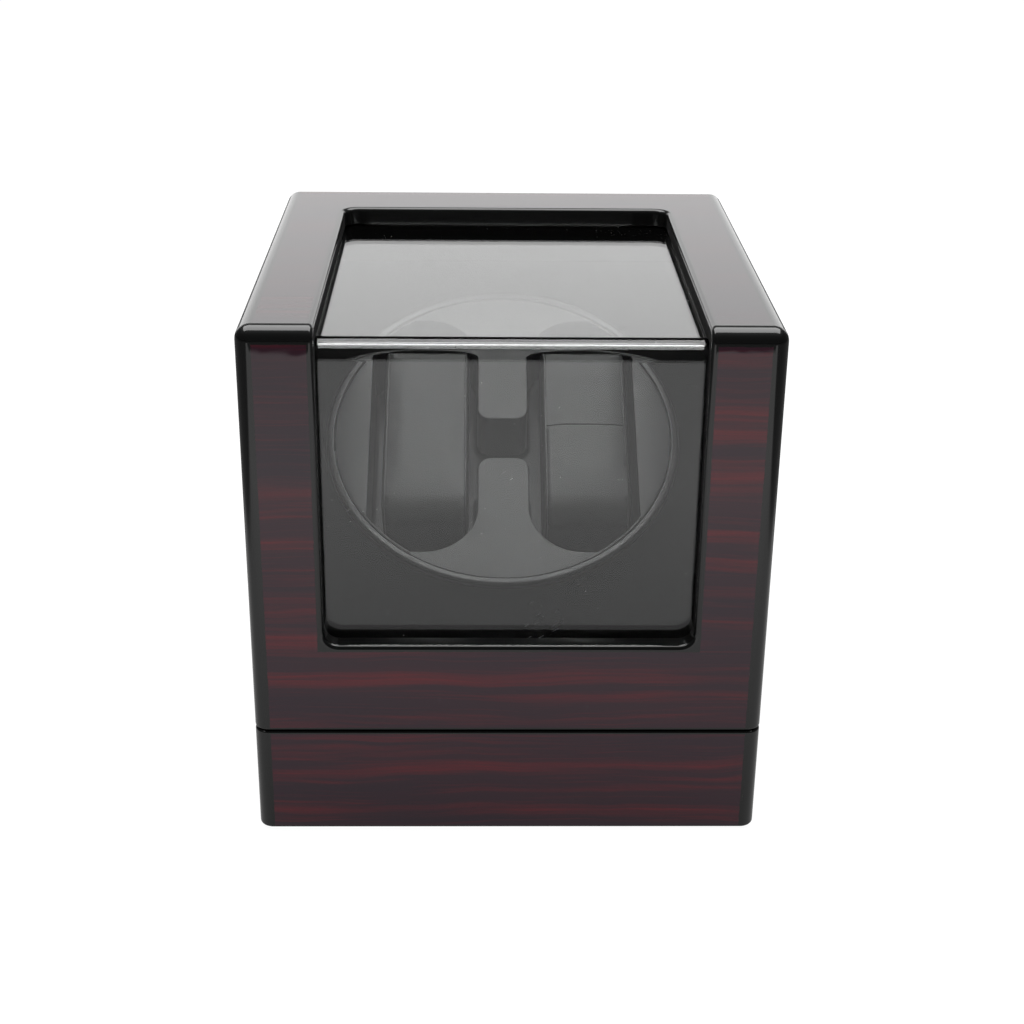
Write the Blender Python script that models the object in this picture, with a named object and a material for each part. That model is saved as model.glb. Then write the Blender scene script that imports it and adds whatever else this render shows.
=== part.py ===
"""Two-watch winder box: lacquered case, flip-up lid with an L-shaped clear
window, tilted belt-driven turntable and two lift-out watch pillows.

Frame: +Z up, +X to the viewer's right, +Y to the back, origin at the centre
of the bottom of the object's box.  Dimensions are in millimetres and are
turned into metres when a mesh is made.  Depths (y) are counted from the
front face of the case and heights (z) from the surface it stands on.
"""
import math

import bmesh
import bpy
from mathutils import Matrix, Vector

MM = 0.001
GAP = 0.3              # between pieces that touch

# ---- case -----------------------------------------------------------------
WIDTH = 175.0
DEPTH = 182.0
HEIGHT = 186.0
REAR_REACH = 9.0       # how far the mode knob stands out behind the case
BOARD = 6.5            # thickness of every case board
EDGE_R = 5.0           # rounding of the outer edges
FOOT_H = 1.5
BASE_TOP = 40.8
LID_BOTTOM = 41.2
PANEL_T = 3.5
REBATE = 3.0

# ---- window ---------------------------------------------------------------
OPEN_HALF = 62.5       # half width of the opening
OPEN_BOTTOM = 74.0     # height of its front sill
OPEN_BACK = 151.5      # depth of its back edge
OPEN_R = 5.0
PANE_T = 2.8
PANE_RECESS = BOARD + GAP
PANE_LAP = 7.5         # how far the pane runs on behind the boards
PANE_BEND = 6.5        # outer bend radius

# ---- hinge ----------------------------------------------------------------
HINGE_Y = 184.7
HINGE_Z = 41.0
HINGE_X = 50.0
LEAF_W = 30.0
LEAF_T = 1.2
LEAF_IN = 3.0
LEAF_OUT = 16.0
KNUCKLE_R = 2.35
PIN_R = 1.0
CENTRE_KNUCKLE = 10.0

# ---- turntable ------------------------------------------------------------
TILT = math.radians(32.8)          # slope of the face from level
FACE_X = -1.3                      # the turntable sits a little to the left
FACE_Y, FACE_Z = 95.95, 113.6      # centre of the face plane
RIM_R = 66.5
RIM_IN = 63.6
FACE_R = 63.3
FACE_T = 3.0
SLOT_IN = 9.55                     # slot side nearest the centre
SLOT_OUT = 50.05
SLOT_END = 52.0
SLOT_END_R = 19.5
SLOT_CLIP = 62.1
BRIDGE_LOW, BRIDGE_HIGH = -10.6, 7.2
TAB_R = 5.0
POCKET = 26.0
WALL = 1.6
PLATFORM_D = 5.0                   # platform face below the turntable face
PLATFORM_T = 6.0
PLATFORM_HOLE = 64.6

# ---- pillows --------------------------------------------------------------
PILLOW_W = 32.0
PILLOW_L = 84.0
PILLOW_R = 9.0                     # rounding of its ends
PILLOW_OUT = 8.5                   # stands above the face
PILLOW_DEPTH = 25.4                # reaches below the face
PILLOW_U = {"left": -28.8, "right": 30.6}

# ---- drive ----------------------------------------------------------------
PULLEY_R = 28.0                    # belt centre line on the driven pulley
MOTOR_PULLEY_R = 7.0
MOTOR_V = -45.0                    # motor down the slope from the spindle
BELT_R = 1.5
BELT_D = 38.5
PULLEY_T = 5.0
PLATE_D = 45.0
PLATE_T = 2.0
SPINDLE_R = 3.0

# ---- carcass --------------------------------------------------------------
CHEEK_IN, CHEEK_OUT = 71.5, 78.7
CARCASS_FRONT, CARCASS_BACK = 9.0, 172.2

FRONT_Y = -(DEPTH + REAR_REACH) / 2

N = Vector((0, -math.sin(TILT), math.cos(TILT)))
UP_SLOPE = Vector((0, math.cos(TILT), math.sin(TILT)))
FACE = Vector((FACE_X, FRONT_Y + FACE_Y, FACE_Z))


def clear_scene():
    for obj in list(bpy.data.objects):
        bpy.data.objects.remove(obj, do_unlink=True)


def material(name, colour, roughness, metallic=0.0, alpha=1.0):
    mat = bpy.data.materials.new(name)
    mat.use_nodes = True
    bsdf = mat.node_tree.nodes["Principled BSDF"]
    bsdf.inputs["Base Color"].default_value = (*colour, 1.0)
    bsdf.inputs["Roughness"].default_value = roughness
    bsdf.inputs["Metallic"].default_value = metallic
    bsdf.inputs["Alpha"].default_value = alpha
    return mat


LOOKS = {
    "lacquer": ((0.055, 0.012, 0.014), 0.08, 0.0, 1.0),
    "acrylic": ((0.9, 0.92, 0.93), 0.03, 0.0, 0.25),
    "velvet": ((0.012, 0.012, 0.013), 0.95, 0.0, 1.0),
    "satin_black": ((0.02, 0.02, 0.021), 0.4, 0.0, 1.0),
    "leather": ((0.018, 0.018, 0.018), 0.55, 0.0, 1.0),
    "steel": ((0.55, 0.55, 0.54), 0.35, 1.0, 1.0),
    "nickel": ((0.62, 0.6, 0.56), 0.25, 1.0, 1.0),
    "rubber": ((0.015, 0.015, 0.015), 0.8, 0.0, 1.0),
    "fibreboard": ((0.05, 0.045, 0.04), 0.8, 0.0, 1.0),
    "nylon": ((0.75, 0.74, 0.7), 0.45, 0.0, 1.0),
    "board_green": ((0.02, 0.14, 0.06), 0.45, 0.0, 1.0),
}


# ---- mesh helpers ---------------------------------------------------------
def add(name, bm, look, frame=None):
    """A new object from a mesh in millimetres; frame places it."""
    bmesh.ops.recalc_face_normals(bm, faces=bm.faces)
    for v in bm.verts:
        v.co *= MM
    mesh = bpy.data.meshes.new(name)
    bm.to_mesh(mesh)
    bm.free()
    obj = bpy.data.objects.new(name, mesh)
    bpy.context.scene.collection.objects.link(obj)
    if frame is not None:
        obj.parent = frame
    if look:
        mesh.materials.append(material(name, *LOOKS[look]))
    return obj


def round_off(obj, angle=32):
    obj.data.shade_smooth()
    obj.data.set_sharp_from_angle(angle=math.radians(angle))
    return obj


def empty(name, place, turn=None, parent=None):
    obj = bpy.data.objects.new(name, None)
    obj.empty_display_size = 0.02
    obj.matrix_world = Matrix.Translation(Vector(place) * MM) @ (turn or Matrix())
    bpy.context.scene.collection.objects.link(obj)
    if parent is not None:
        obj.parent = parent
        obj.matrix_parent_inverse = parent.matrix_world.inverted()
    return obj


def box_bm(x0, x1, y0, y1, z0, z1):
    bm = bmesh.new()
    bmesh.ops.create_cube(bm, size=1.0)
    for v in bm.verts:
        v.co = Vector((x1 if v.co.x > 0 else x0, y1 if v.co.y > 0 else y0,
                       z1 if v.co.z > 0 else z0))
    return bm


def prism_bm(outline, low, high, axis="z"):
    """An outline pushed along an axis; x outlines are (y, z) pairs."""
    bm = bmesh.new()
    def point(a, b, h):
        return {"z": (a, b, h), "x": (h, a, b), "y": (a, h, b)}[axis]
    ring = [bm.verts.new(point(a, b, low)) for a, b in outline]
    face = bm.faces.new(ring)
    grown = bmesh.ops.extrude_face_region(bm, geom=[face])
    step = Vector(point(0, 0, high)) - Vector(point(0, 0, low))
    moved = [g for g in grown["geom"] if isinstance(g, bmesh.types.BMVert)]
    bmesh.ops.translate(bm, verts=moved, vec=step)
    return bm


def rod_bm(radius, low, high, at=(0, 0), axis="z", sides=20):
    step = 2 * math.pi / sides
    ring = [(at[0] + radius * math.cos(step * (i + 0.5)),
             at[1] + radius * math.sin(step * (i + 0.5))) for i in range(sides)]
    return prism_bm(ring, low, high, axis)


def turned_bm(profile, sides=32, at=(0, 0)):
    """A solid turned about z from (radius, height) pairs."""
    bm = bmesh.new()
    rings = []
    for radius, height in profile:
        if radius < 1e-6:
            rings.append([bm.verts.new((at[0], at[1], height))])
            continue
        rings.append([bm.verts.new((at[0] + radius * math.cos(2 * math.pi * i / sides),
                                    at[1] + radius * math.sin(2 * math.pi * i / sides),
                                    height)) for i in range(sides)])
    closed = rings if profile[0][0] < 1e-6 else rings + [rings[0]]
    for a, b in zip(closed, closed[1:]):
        for i in range(sides):
            j = (i + 1) % sides
            if len(a) == 1:
                bm.faces.new((a[0], b[i], b[j]))
            elif len(b) == 1:
                bm.faces.new((a[i], b[0], a[j]))
            else:
                bm.faces.new((a[i], b[i], b[j], a[j]))
    return bm


def merge(*meshes):
    """Several tools in one mesh, for a single cut; they stay apart."""
    out = bmesh.new()
    for bm in meshes:
        temp = bpy.data.meshes.new("tool")
        bm.to_mesh(temp)
        bm.free()
        out.from_mesh(temp)
        bpy.data.meshes.remove(temp)
    return out


def combine(obj, bm, how, frame=None):
    tool = add(f"{obj.name}_{how.lower()}_{len(obj.modifiers)}", bm, None, frame)
    tool.hide_render = True
    tool.display_type = "WIRE"
    mod = obj.modifiers.new(how.title(), "BOOLEAN")
    mod.operation = how
    mod.object = tool
    mod.solver = "EXACT"
    return obj


def cut(obj, bm, frame=None):
    return combine(obj, bm, "DIFFERENCE", frame)


def weld(obj, bm, frame=None):
    return combine(obj, bm, "UNION", frame)


def arc(cx, cy, r, a0, a1, steps):
    return [(cx + r * math.cos(math.radians(a0 + (a1 - a0) * i / steps)),
             cy + r * math.sin(math.radians(a0 + (a1 - a0) * i / steps)))
            for i in range(steps + 1)]


def bevel_edges(bm, test, radius, segments=3):
    edges = [e for e in bm.edges if test(e.verts[0].co, e.verts[1].co)]
    bmesh.ops.bevel(bm, geom=edges, offset=radius, segments=segments,
                    profile=0.5, affect="EDGES", clamp_overlap=True)
    return bm


def smooth_path(points, spacing):
    """Points at an even spacing on a smooth curve through the route."""
    pts = [Vector(p) for p in points]
    pts = [2 * pts[0] - pts[1]] + pts + [2 * pts[-1] - pts[-2]]
    fine = []
    for i in range(1, len(pts) - 2):
        p0, p1, p2, p3 = pts[i - 1:i + 3]
        for s in range(40):
            t = s / 40
            fine.append(0.5 * ((2 * p1) + (p2 - p0) * t
                               + (2 * p0 - 5 * p1 + 4 * p2 - p3) * t * t
                               + (3 * p1 - p0 - 3 * p2 + p3) * t ** 3))
    fine.append(pts[-2])
    run = [0.0]
    for a, b in zip(fine, fine[1:]):
        run.append(run[-1] + (b - a).length)
    count = max(3, round(run[-1] / spacing))
    out, k = [], 0
    for i in range(count + 1):
        want = run[-1] * i / count
        while k < len(run) - 2 and run[k + 1] < want:
            k += 1
        span = run[k + 1] - run[k]
        out.append(fine[k].lerp(fine[k + 1], 0 if span == 0 else (want - run[k]) / span))
    return out


def lead(name, route, radius, look):
    curve = bpy.data.curves.new(name, "CURVE")
    curve.dimensions = "3D"
    curve.bevel_depth = radius * MM
    curve.bevel_resolution = 2
    curve.use_fill_caps = True
    points = smooth_path(route, radius * 5)
    spline = curve.splines.new("POLY")
    spline.points.add(len(points) - 1)
    for p, q in zip(spline.points, points):
        p.co = (q.x * MM, q.y * MM, q.z * MM, 1)
    curve.materials.append(material(name, *LOOKS[look]))
    obj = bpy.data.objects.new(name, curve)
    bpy.context.scene.collection.objects.link(obj)
    return obj


def shifted(bm, offset=None):
    """From depth-counted coordinates to the object's frame, or a parent's."""
    step = Vector((0, FRONT_Y, 0)) - Vector(offset or (0, 0, 0))
    bmesh.ops.translate(bm, verts=bm.verts, vec=step)
    return bm


clear_scene()

tilt_turn = Matrix.Rotation(TILT, 4, "X")
hinge_at = (0, FRONT_Y + HINGE_Y, HINGE_Z)
motor_at = FACE + UP_SLOPE * MOTOR_V
knob_at = (12.0, FRONT_Y + 182.0, 21.0)

lid_axis = empty("lid_axis", hinge_at)
table_axis = empty("turntable_axis", FACE, tilt_turn)
motor_axis = empty("motor_axis", motor_at, tilt_turn)
knob_axis = empty("knob_axis", knob_at)
pillow_guides = {side: empty(f"pillow_{side}_guide", FACE + Vector((u, 0, 0)),
                             tilt_turn, table_axis)
                 for side, u in PILLOW_U.items()}


def on_lid(bm):
    return shifted(bm, hinge_at)


# ===========================================================================
# Case base
# ===========================================================================
upright = lambda a, b: abs(a.x - b.x) < 0.01 and abs(a.y - b.y) < 0.01

half = WIDTH / 2
base = add("base_case", shifted(bevel_edges(
    box_bm(-half, half, 0, DEPTH, FOOT_H, BASE_TOP), upright, EDGE_R)), "lacquer")
inner = half - BOARD
ledge = FOOT_H + PANEL_T + 2 * GAP
cut(base, shifted(box_bm(-inner, inner, BOARD, DEPTH - BOARD, ledge - 1, BASE_TOP + 5)))
cut(base, shifted(box_bm(-inner - REBATE, inner + REBATE, BOARD - REBATE,
                         DEPTH - BOARD + REBATE, -5, ledge)))
SCREW_X = [HINGE_X - 9, HINGE_X + 9]
hinge_holes = [rod_bm(1.15, DEPTH - 5.7, DEPTH + 1, at=(s * x, 31.0), axis="y", sides=10)
               for s in (-1, 1) for x in SCREW_X]
cut(base, shifted(merge(box_bm(-20, 20, DEPTH - BOARD - 2, DEPTH + 2, 12, 30),
                        *hinge_holes)))
round_off(base)

BOTTOM_SCREWS = [(s * 75.1, y) for s in (-1, 1) for y in (30.0, 150.0)]
panel = add("bottom_panel", shifted(box_bm(
    -inner - REBATE + GAP, inner + REBATE - GAP, BOARD - REBATE + GAP,
    DEPTH - BOARD + REBATE - GAP, FOOT_H + GAP, FOOT_H + GAP + PANEL_T)), "fibreboard")
cut(panel, shifted(merge(*[rod_bm(3.4, -5, 3.8, at=p, sides=12) for p in BOTTOM_SCREWS])))
cut(panel, shifted(merge(*[rod_bm(1.75, -5, 10, at=p, sides=12) for p in BOTTOM_SCREWS])))

for i, (x, y) in enumerate(((-72, 14), (72, 14), (-72, 168), (72, 168)), 1):
    round_off(add(f"foot_{i}", shifted(turned_bm(
        [(0, 0), (5.2, 0), (6, 0.5), (6, FOOT_H), (0, FOOT_H)], 20, at=(x, y))), "rubber"))


def screw_bm(head_r, head_h, shank_r, length, sides=12):
    """Pan-head screw along z: head above 0, shank below."""
    return turned_bm([(0, head_h), (head_r * 0.7, head_h), (head_r, head_h * 0.45),
                      (head_r, 0), (shank_r, 0), (shank_r, -length + shank_r),
                      (0, -length)], sides)


def place_screw(name, bm, at, direction, look="steel"):
    """at is a point in the object's frame; the head faces along direction."""
    turn = Vector(direction).to_track_quat("Z", "Y").to_matrix().to_4x4()
    obj = add(name, bm, look)
    obj.matrix_world = Matrix.Translation(Vector(at) * MM) @ turn
    return round_off(obj)


for i, (x, y) in enumerate(BOTTOM_SCREWS, 1):
    place_screw(f"bottom_screw_{i}", screw_bm(3.0, 1.5, 1.4, 13.2),
                (x, FRONT_Y + y, 3.5), (0, 0, -1))

# ===========================================================================
# Carcass: platform on two cheeks, front skirt and back riser
# ===========================================================================
def slope_height(y, d):
    """Height, at depth y, of the plane d below the turntable face."""
    y0 = FACE_Y + d * math.sin(TILT)
    z0 = FACE_Z - d * math.cos(TILT)
    return z0 + (y - y0) * math.tan(TILT)


under = PLATFORM_D + PLATFORM_T
platform = add("platform", shifted(prism_bm(
    [(CARCASS_FRONT, slope_height(CARCASS_FRONT, under)),
     (CARCASS_BACK, slope_height(CARCASS_BACK, under)),
     (CARCASS_BACK, slope_height(CARCASS_BACK, PLATFORM_D)),
     (CARCASS_FRONT, slope_height(CARCASS_FRONT, PLATFORM_D))],
    -CHEEK_OUT, CHEEK_OUT, "x")), "velvet")
cut(platform, rod_bm(PLATFORM_HOLE, -20, 5, sides=64), table_axis)
round_off(platform)

cheek_line = under + GAP
BRACKET_SCREWS = [(v, d) for v in (-22.0, 15.0) for d in (40.0,)]
bracket_points = [FACE + UP_SLOPE * v - N * d for v, d in BRACKET_SCREWS]
for side, s in (("left", -1), ("right", 1)):
    x0, x1 = sorted((s * CHEEK_IN, s * CHEEK_OUT))
    cheek = add(f"cheek_{side}", shifted(prism_bm(
        [(CARCASS_FRONT, ledge), (CARCASS_BACK, ledge),
         (CARCASS_BACK, slope_height(CARCASS_BACK, cheek_line)),
         (CARCASS_FRONT, slope_height(CARCASS_FRONT, cheek_line))], x0, x1, "x")), "velvet")
    holes = [shifted(rod_bm(1.75, ledge - 2, 17.5, at=p, sides=12))
             for p in BOTTOM_SCREWS if p[0] * s > 0]
    reach = sorted((s * (CHEEK_IN - 2), s * (CHEEK_IN + 5.5)))
    holes += [rod_bm(1.5, *reach, at=(p.y, p.z), axis="x", sides=12) for p in bracket_points]
    cut(cheek, merge(*holes))

lining = CHEEK_IN - GAP
add("front_skirt", shifted(prism_bm(
    [(CARCASS_FRONT, ledge), (CARCASS_FRONT + 6, ledge),
     (CARCASS_FRONT + 6, slope_height(CARCASS_FRONT + 6, cheek_line)),
     (CARCASS_FRONT, slope_height(CARCASS_FRONT, cheek_line))],
    -lining, lining, "x")), "velvet")
add("back_riser", shifted(prism_bm(
    [(CARCASS_BACK - 6, 46.0), (CARCASS_BACK, 46.0),
     (CARCASS_BACK, slope_height(CARCASS_BACK, cheek_line)),
     (CARCASS_BACK - 6, slope_height(CARCASS_BACK - 6, cheek_line))],
    -lining, lining, "x")), "velvet")

# ===========================================================================
# Drive, along the turntable's axis (z is the axis, 0 at the face)
# ===========================================================================
flange = lining - GAP
right_end, left_end = flange - FACE_X, -flange - FACE_X
bracket = add("drive_bracket", prism_bm(
    [(right_end, -PLATE_D + 12), (right_end, -PLATE_D - PLATE_T),
     (left_end, -PLATE_D - PLATE_T), (left_end, -PLATE_D + 12),
     (left_end + PLATE_T, -PLATE_D + 12), (left_end + PLATE_T, -PLATE_D),
     (right_end - PLATE_T, -PLATE_D), (right_end - PLATE_T, -PLATE_D + 12)],
    -58.0, 24.0, "y"), "steel", table_axis)
cut(bracket, merge(
    rod_bm(4.5, -60, -40, sides=16),
    rod_bm(4.0, -60, -40, at=(0, MOTOR_V), sides=16),
    *[rod_bm(1.3, -60, -40, at=(s * 8.5, MOTOR_V), sides=10) for s in (-1, 1)]), table_axis)
cut(bracket, merge(*[rod_bm(1.5, *r, at=(v, -d), axis="x", sides=12)
                     for r in ((-80, -60), (60, 80)) for v, d in BRACKET_SCREWS]), table_axis)
k = 0
for s in (-1, 1):
    for p in bracket_points:
        k += 1
        place_screw(f"bracket_screw_{k}", screw_bm(2.6, 1.6, 1.2, 8.0),
                    (s * (flange - PLATE_T - GAP), p.y, p.z), (-s, 0, 0))

low = -PLATE_D - PLATE_T - GAP
round_off(add("bearing_housing", turned_bm(
    [(3.3, low), (12, low), (12, low - 2.5), (8, low - 2.5), (8, low - 10), (3.3, low - 10)],
    28), "nylon", table_axis))
gearbox = add("gearbox", rod_bm(12.5, low - 12, low, sides=28), "steel", motor_axis)
cut(gearbox, merge(rod_bm(1.8, low - 6, low + 2, sides=12),
                   *[rod_bm(1.3, low - 5, low + 2, at=(s * 8.5, 0), sides=10)
                     for s in (-1, 1)]), motor_axis)
round_off(gearbox)
can_top = low - 12 - GAP
round_off(add("motor_can", turned_bm(
    [(0, can_top), (11.6, can_top), (12, can_top - 0.6), (12, can_top - 17), (11, can_top - 18),
     (4, can_top - 18), (4, can_top - 19), (0, can_top - 19)], 28), "nickel", motor_axis))
for i, s in enumerate((-1, 1), 1):
    screw = add(f"gearbox_screw_{i}", screw_bm(2.0, 1.4, 1.0, 6.5), "steel", motor_axis)
    screw.location = Vector((s * 8.5, 0, -PLATE_D + GAP)) * MM
    round_off(screw)


def pulley_bm(pitch, hub_r, bore, hub=3.0, sides=40):
    groove = BELT_R + GAP
    mid, t = -BELT_D, PULLEY_T / 2
    return turned_bm(
        [(bore, mid + t), (pitch + 1.2, mid + t), (pitch + 1.2, mid + groove),
         (pitch - groove, mid + groove), (pitch - groove, mid - groove),
         (pitch + 1.2, mid - groove), (pitch + 1.2, mid - t), (hub_r, mid - t),
         (hub_r, mid - t - hub), (bore, mid - t - hub)], sides)


round_off(add("driven_pulley", pulley_bm(PULLEY_R, 7.0, 3.3), "nylon", table_axis))
round_off(add("spindle", turned_bm(
    [(0, -30), (2.6, -30), (SPINDLE_R, -30.4), (SPINDLE_R, -61.5), (2.6, -62), (0, -62)],
    20), "steel", table_axis))
round_off(add("spindle_clip", turned_bm(
    [(3.3, low - 10.3), (6.0, low - 10.3), (6.0, low - 11.5), (3.3, low - 11.5)], 20),
    "steel", table_axis))
round_off(add("motor_pulley", pulley_bm(MOTOR_PULLEY_R, 4.0, 1.8, hub=1.2, sides=24),
              "nylon", motor_axis))
round_off(add("motor_shaft", turned_bm(
    [(0, -35.5), (1.2, -35.5), (1.5, -35.9), (1.5, low - 5.5), (0, low - 5.5)], 16),
    "steel", motor_axis))


def belt_bm():
    """A round belt on both pulleys, open in the middle."""
    c = -MOTOR_V
    lean = math.degrees(math.acos((PULLEY_R - MOTOR_PULLEY_R) / c))
    line = (arc(0, 0, PULLEY_R, -90 + lean, 270 - lean, 30)
            + arc(0, MOTOR_V, MOTOR_PULLEY_R, 270 - lean, 270 + lean, 9))
    bm = bmesh.new()
    rings, count = [], len(line)
    for i, (x, y) in enumerate(line):
        a, b = Vector(line[i - 1]), Vector(line[(i + 1) % count])
        along = (b - a).normalized()
        out = Vector((along.y, -along.x))
        rings.append([bm.verts.new((x + out.x * BELT_R * math.cos(q),
                                    y + out.y * BELT_R * math.cos(q),
                                    -BELT_D + BELT_R * math.sin(q)))
                      for q in (2 * math.pi * k / 8 for k in range(8))])
    for i in range(count):
        a, b = rings[i], rings[(i + 1) % count]
        for k in range(8):
            m = (k + 1) % 8
            bm.faces.new((a[k], a[m], b[m], b[k]))
    return bm


round_off(add("drive_belt", belt_bm(), "rubber", table_axis), 50)

# ===========================================================================
# Turntable
# ===========================================================================
def pocket_outline(grow=0.0, clip=SLOT_CLIP):
    """Two slots joined by a bridge, grown outwards by a wall."""
    out_u, end_v = SLOT_OUT + grow, SLOT_END + grow
    end_r, in_u, tab = SLOT_END_R + grow, SLOT_IN - grow, TAB_R - grow
    high, low_ = BRIDGE_HIGH + grow, BRIDGE_LOW - grow
    v1 = math.sqrt(clip ** 2 - out_u ** 2)
    u2 = math.sqrt(clip ** 2 - end_v ** 2)
    a1 = math.degrees(math.atan2(v1, out_u))
    a2 = math.degrees(math.atan2(end_v, u2))
    c_u, c_v = in_u + end_r, end_v - end_r
    top = (arc(0, 0, clip, a1, a2, 4) + arc(c_u, c_v, end_r, 90, 180, 8)
           + arc(in_u - tab, high + tab, tab, 0, -90, 4))
    low_part = (arc(in_u - tab, low_ - tab, tab, 90, 0, 4)
                + arc(c_u, -c_v, end_r, 180, 270, 8) + arc(0, 0, clip, -a2, -a1, 4))
    right_top = top
    left_top = [(-u, v) for u, v in reversed(top)]
    left_low = [(-u, v) for u, v in reversed(low_part)]
    return right_top + left_top + left_low + low_part


cup = add("turntable_cup", rod_bm(FACE_R, -FACE_T, 0, sides=64), "satin_black", table_axis)
weld(cup, prism_bm(pocket_outline(WALL, FACE_R - 0.3), -POCKET - 3, -1.0), table_axis)
weld(cup, rod_bm(8, -PLATE_D + 11, -POCKET - 1, sides=24), table_axis)
cut(cup, prism_bm(pocket_outline(), -POCKET, 5), table_axis)
cut(cup, rod_bm(3.3, -50, -29.6, sides=16), table_axis)
round_off(cup)
rim = [(RIM_IN, -2.9), (RIM_IN, 0.2), (RIM_IN + 0.5, 0.6), (RIM_R - 1.4, 0.6),
       (RIM_R - 0.4, 0.1), (RIM_R, -1.0), (RIM_R, -2.9)]
round_off(add("turntable_rim", turned_bm(rim, 72), "satin_black", table_axis))

# ===========================================================================
# Pillows
# ===========================================================================
def pillow_bm():
    r = PILLOW_R
    top, bottom, c = PILLOW_OUT - r, r - PILLOW_DEPTH, PILLOW_L / 2 - r
    line = (arc(c, top, r, 90, 0, 6) + arc(c, bottom, r, 0, -90, 6)
            + arc(-c, bottom, r, -90, -180, 6) + arc(-c, top, r, 180, 90, 6))
    bm = prism_bm(line, -PILLOW_W / 2, PILLOW_W / 2, "x")
    side = [e for e in bm.edges if abs(e.verts[0].co.x - e.verts[1].co.x) < 0.01]
    bmesh.ops.bevel(bm, geom=side, offset=2.5, segments=2, profile=0.5, affect="EDGES")
    return bm


for side_name in ("left", "right"):
    round_off(add(f"pillow_{side_name}", pillow_bm(), "leather",
                  pillow_guides[side_name]), 50)

# ===========================================================================
# Electrics and the back of the base
# ===========================================================================
board = add("control_board", shifted(box_bm(-66, -16, 112, 156, 9, 10.6)), "board_green")
weld(board, shifted(merge(*[rod_bm(2.5, ledge, 9.5, at=p, sides=10)
                            for p in ((-62, 116), (-20, 116.5), (-62, 152), (-22, 151.5))])))
weld(board, shifted(merge(box_bm(-24, -17, 149.5, 155.7, 10, 16),
                          box_bm(-31, -22, 112.4, 118.4, 10, 16),
                          box_bm(-52, -40, 128, 140, 10, 12.4),
                          rod_bm(4, 10, 21, at=(-57, 146), sides=16))))

plate = add("rear_plate", shifted(box_bm(-27, 27, DEPTH + GAP, DEPTH + 1.8, 9, 33)),
            "satin_black")
JACK_X, KNOB_X, REAR_Z = -13.0, 12.0, 21.0
cut(plate, shifted(merge(
    rod_bm(4.5, DEPTH - 5, DEPTH + 5, at=(JACK_X, REAR_Z), axis="y", sides=20),
    rod_bm(3.7, DEPTH - 5, DEPTH + 5, at=(KNOB_X, REAR_Z), axis="y", sides=20))))
bevel = plate.modifiers.new("Bevel", "BEVEL")
bevel.width, bevel.segments, bevel.limit_method = 0.4 * MM, 1, "ANGLE"
bevel.angle_limit = math.radians(60)

jack = add("dc_jack", shifted(box_bm(JACK_X - 5.5, JACK_X + 5.5, 168, DEPTH, 15.5, 26.5)),
           "satin_black")
weld(jack, shifted(rod_bm(4.2, DEPTH - 3, DEPTH + 4.6, at=(JACK_X, REAR_Z), axis="y", sides=20)))
cut(jack, shifted(rod_bm(3.1, DEPTH - 6, DEPTH + 8, at=(JACK_X, REAR_Z), axis="y", sides=20)))
weld(jack, shifted(rod_bm(1.0, DEPTH - 7, DEPTH + 3.4, at=(JACK_X, REAR_Z), axis="y", sides=12)))
nut = add("jack_nut", shifted(rod_bm(6.6, DEPTH + 2.1, DEPTH + 4.1, at=(JACK_X, REAR_Z),
                                     axis="y", sides=6)), "nickel")
cut(nut, shifted(rod_bm(4.5, DEPTH, DEPTH + 8, at=(JACK_X, REAR_Z), axis="y", sides=20)))

switch = add("mode_switch", shifted(box_bm(KNOB_X - 7, KNOB_X + 7, 170, DEPTH, 14, 28)),
             "satin_black")
weld(switch, shifted(rod_bm(3.4, DEPTH - 3, DEPTH + 4.2, at=(KNOB_X, REAR_Z), axis="y", sides=20)))
cut(switch, shifted(rod_bm(1.9, DEPTH - 9, DEPTH + 8, at=(KNOB_X, REAR_Z), axis="y", sides=16)))


def knob_mesh(bm):
    """About the knob's axis: y is the axis, 0 at the back of the case."""
    for v in bm.verts:
        v.co = Vector((v.co.x, v.co.z, -v.co.y))
    return bm


round_off(add("switch_spindle", knob_mesh(turned_bm(
    [(0, -8.5), (1.6, -8.5), (1.6, 7.2), (1.3, 7.5), (0, 7.5)], 16)), "nickel", knob_axis))
knob = add("mode_knob", knob_mesh(turned_bm(
    [(0, REAR_REACH), (6.2, REAR_REACH), (7.0, REAR_REACH - 0.8), (7.4, 4.6), (0, 4.6)], 32)),
    "satin_black", knob_axis)
cut(knob, rod_bm(1.9, 3, 7.8, axis="y", sides=16), knob_axis)
cut(knob, merge(*[rod_bm(0.7, 3, REAR_REACH + 2, at=(7.5 * math.cos(a), 7.5 * math.sin(a)),
                         axis="y", sides=6)
                  for a in (2 * math.pi * (i + 0.5) / 12 for i in range(12))]), knob_axis)
cut(knob, box_bm(-0.5, 0.5, REAR_REACH - 0.6, REAR_REACH + 1, 1.5, 9), knob_axis)
round_off(knob)


def real(points):
    return [(x, FRONT_Y + y, z) for x, y, z in points]


lead("jack_lead", real([(-13, 167.5, 21), (-13, 164.5, 20.9), (-15.5, 161, 17.5),
                        (-19, 159.4, 14.2), (-20.5, 157.2, 13.2)]), 1.2, "rubber")
lead("motor_lead", real([(-1.3, 101.15, 22.4), (-1.3, 102.5, 20.3), (-5, 104.8, 16.5),
                         (-13, 106.8, 13.8), (-22, 108.6, 13), (-26.5, 111.0, 13)]), 1.1, "rubber")

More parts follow.
